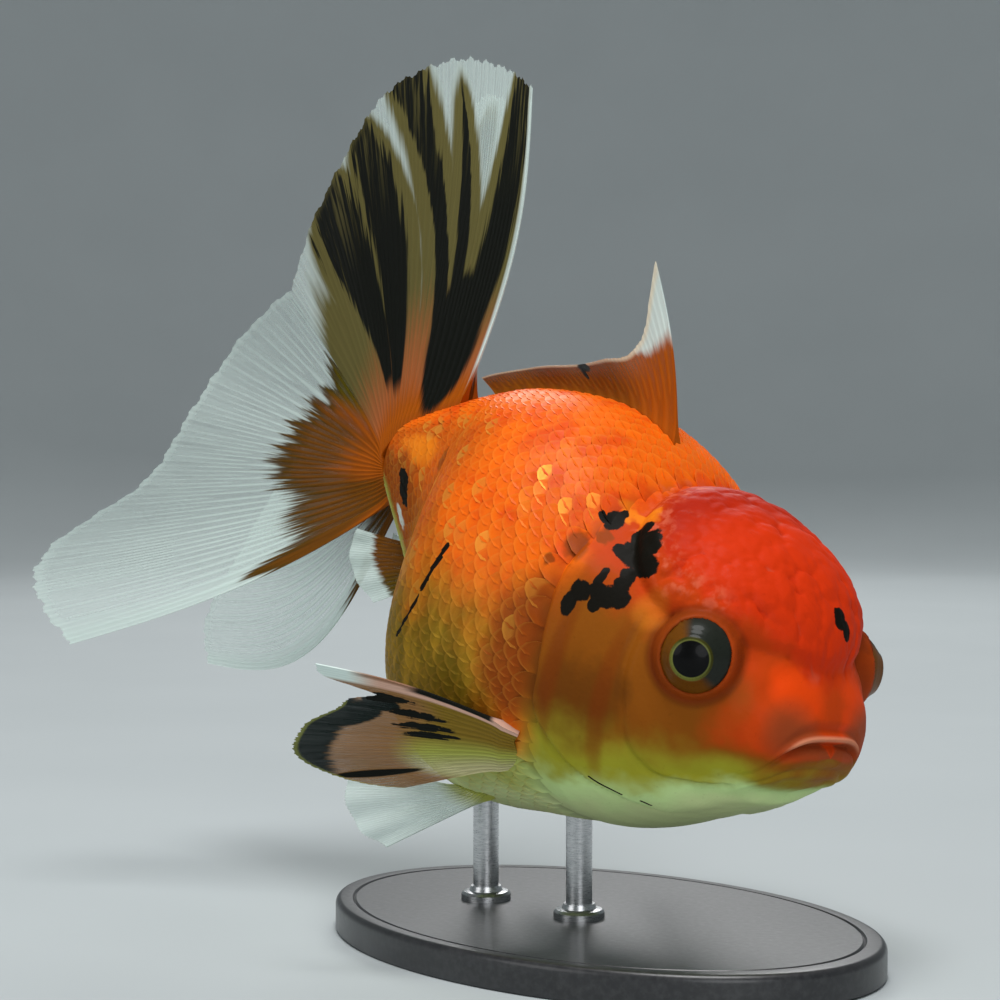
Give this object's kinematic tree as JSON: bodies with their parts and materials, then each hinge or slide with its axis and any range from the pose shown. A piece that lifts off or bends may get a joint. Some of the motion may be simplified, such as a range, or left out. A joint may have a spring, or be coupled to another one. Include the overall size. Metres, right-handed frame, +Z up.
{
  "type": "fancy goldfish model",
  "caption": "Life-size still model of a deep-bodied goldfish with a raspberry hood and a long double tail, held nose-down on a low display stand.",
  "frame": {"origin": "middle of the underside of the stand base, on the table", "axes": "+Z up from the table, +X the way the fish swims, +Y to the fish's left"},
  "size_m": [0.1259, 0.0676, 0.1115],
  "materials": {
    "head_skin": "moist orange-brown skin",
    "hood_skin": "moist red skin raised in berry-like lumps",
    "lip_skin": "moist pink-orange skin",
    "eye": "polished, clear over a dark pupil and a yellow-green ring",
    "body_skin": "scaled, orange above and pale yellow-green below, with black marks",
    "fin_orange": "thin rayed fin, orange with pale and black edges",
    "fin_streaked": "thin rayed fin with black streaks over yellow-orange",
    "fin_clear": "thin rayed fin, translucent white from an orange root",
    "stand": "satin black",
    "stand_rod": "brushed"
  },
  "bodies": {
    "root": {"head": "head_skin", "hood": "hood_skin", "upper_lip": "lip_skin", "lower_lip": "lip_skin", "gill_cover_right": "head_skin", "gill_cover_left": "head_skin", "eye_right": "eye", "eye_left": "eye", "trunk": "body_skin", "peduncle": "body_skin", "dorsal_fin": "fin_orange", "pectoral_fin_right": "fin_orange", "pectoral_fin_left": "fin_orange", "pelvic_fin_right": "fin_clear", "pelvic_fin_left": "fin_clear", "anal_fin_right": "fin_clear", "anal_fin_left": "fin_clear", "tail_right_upper": "fin_streaked", "tail_left_upper": "fin_streaked", "tail_right_lower": "fin_clear", "tail_left_lower": "fin_clear", "stand_base": "stand", "stand_rod_front": "stand_rod", "stand_rod_rear": "stand_rod"}
  },
  "joints": []
}
